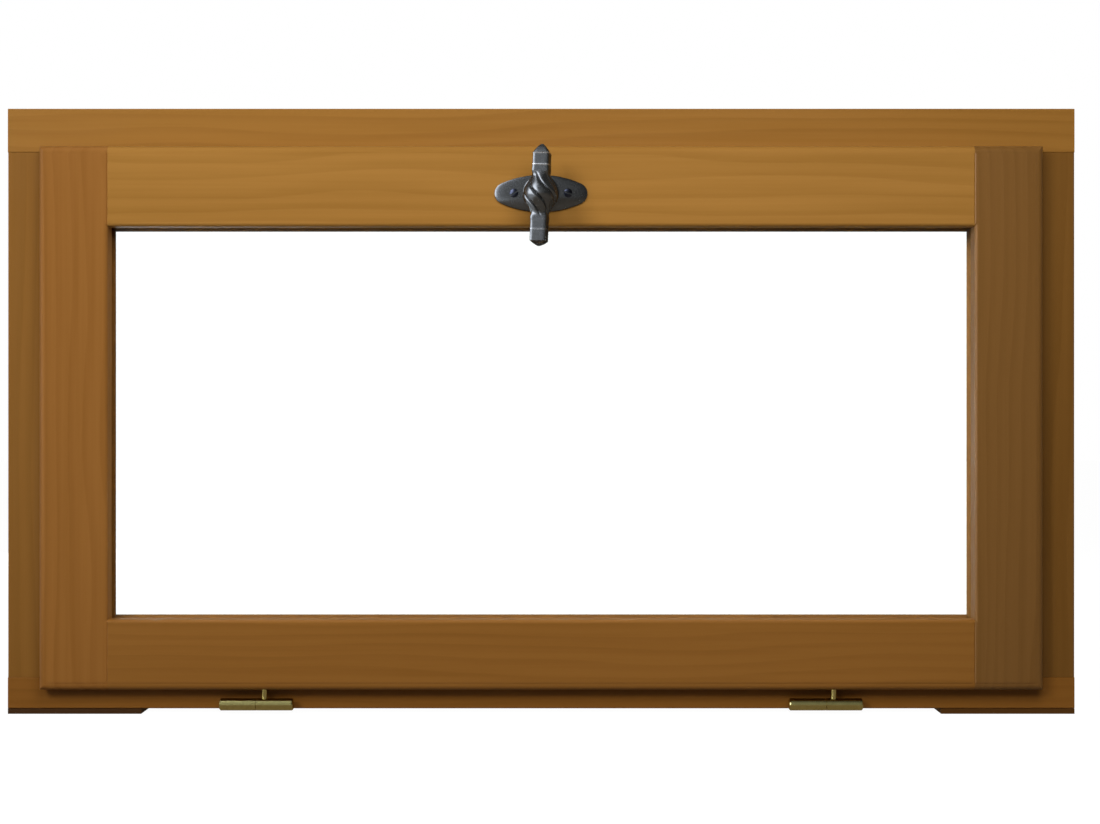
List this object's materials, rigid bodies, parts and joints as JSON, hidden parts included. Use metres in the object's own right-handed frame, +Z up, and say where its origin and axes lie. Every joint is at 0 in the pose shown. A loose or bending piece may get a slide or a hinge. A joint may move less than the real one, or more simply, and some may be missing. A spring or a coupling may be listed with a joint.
{
  "type": "hopper window",
  "caption": "Small timber hopper window: bottom-hung sash with double glazing in a rebated frame, barrel hinges below and a turning bar handle on the top rail.",
  "frame": {"origin": "middle of the window's box on the level of the undersides of the two feet", "axes": "+X to the right seen from the room, +Y from the room to the outside, +Z up"},
  "size_m": [0.8, 0.138, 0.454],
  "materials": {
    "stained_wood": "satin honey-brown stain and varnish over softwood grain",
    "glass": "clear float glass",
    "brass": "aged yellow brass, satin",
    "dark_iron": "dark pewter grey, satin with polished crests",
    "spacer_metal": "mill aluminium",
    "setting_block_rubber": "matt black"
  },
  "bodies": {
    "window": {"head": "stained_wood", "sill": "stained_wood", "jamb_left": "stained_wood", "jamb_right": "stained_wood", "foot_left": "stained_wood", "foot_right": "stained_wood", "stile_left": "stained_wood", "stile_right": "stained_wood", "top_rail": "stained_wood", "bottom_rail": "stained_wood", "drip_mould": "stained_wood", "bead_top": "stained_wood", "bead_bottom": "stained_wood", "bead_left": "stained_wood", "bead_right": "stained_wood", "hinge_left_frame_barrel": "brass", "hinge_left_sash_barrel": "brass", "hinge_left_pin": "brass", "hinge_right_frame_barrel": "brass", "hinge_right_sash_barrel": "brass", "hinge_right_pin": "brass", "handle_rose": "dark_iron", "rose_screw_left": "dark_iron", "rose_screw_right": "dark_iron", "pane_inner": "glass", "pane_outer": "glass", "glass_spacer": "spacer_metal", "setting_blocks": "setting_block_rubber"},
    "handle": {"handle_bar": "dark_iron", "handle_spindle": "dark_iron"}
  },
  "joints": [
    {"name": "handle_turn", "type": "hinge", "parent": "window", "child": "handle", "pos_m": [0, -0.05595, 0.388], "axis": [0, -1, 0], "range_deg": [0, 90]}
  ]
}
